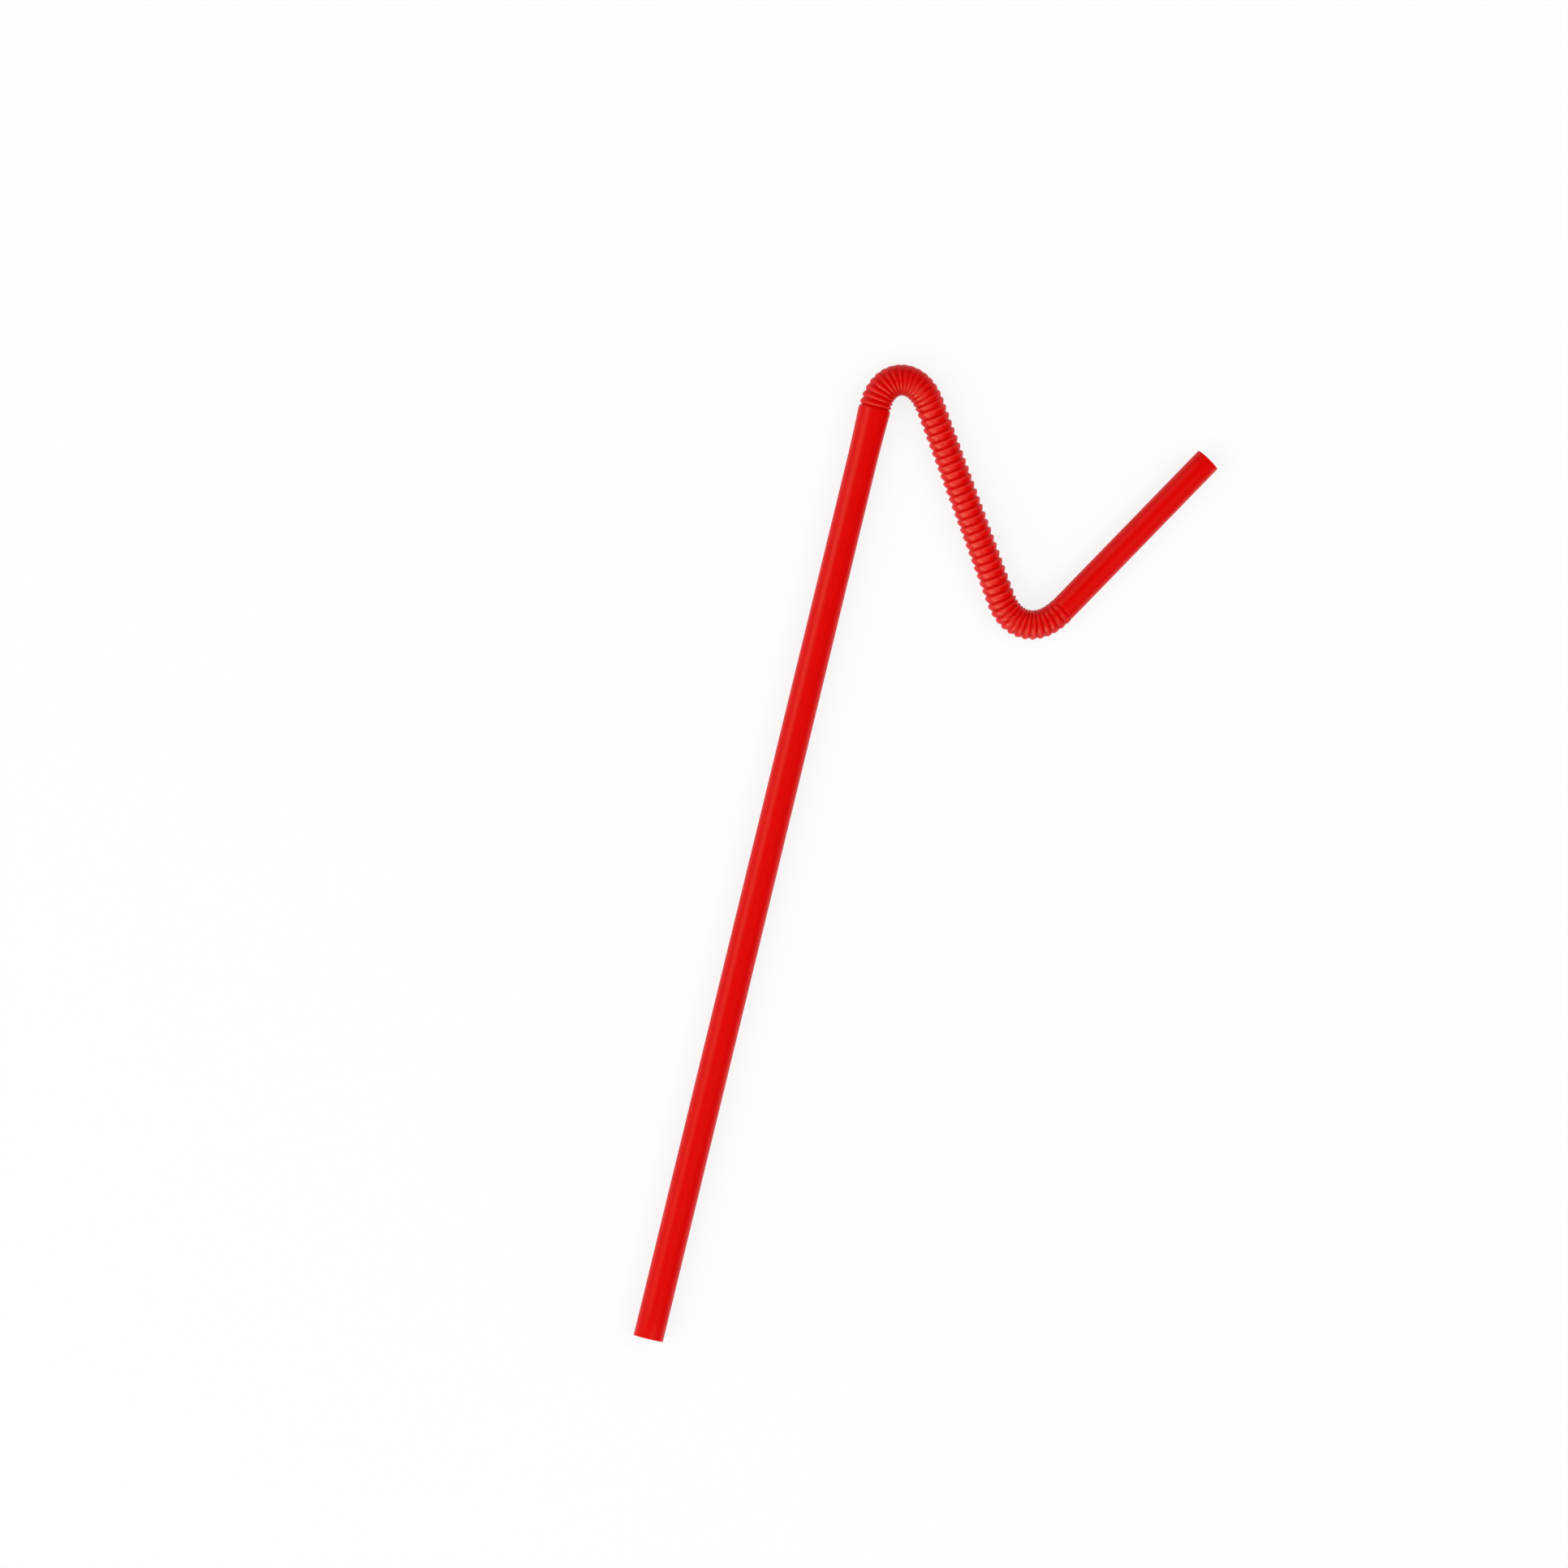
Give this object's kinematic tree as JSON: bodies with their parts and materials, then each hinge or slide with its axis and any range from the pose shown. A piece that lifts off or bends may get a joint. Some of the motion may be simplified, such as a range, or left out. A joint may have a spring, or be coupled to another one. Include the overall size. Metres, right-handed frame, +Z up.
{
  "type": "flexible drinking straw",
  "caption": "Thin-walled drinking straw with a long plain stem, a ribbed bellows bent into a flat zigzag and a short mouth tube.",
  "frame": {"origin": "on the floor, under the middle of the lying straw's box", "axes": "+Y along the stem, from its cut end to the bellows; +X to the side that the bends lie on; +Z up, square to the plane of the bends"},
  "size_m": [0.073, 0.1996, 0.0064],
  "materials": {
    "straw": "satin red polypropylene, coloured through"
  },
  "bodies": {
    "root": {"straw": "straw"}
  },
  "joints": []
}
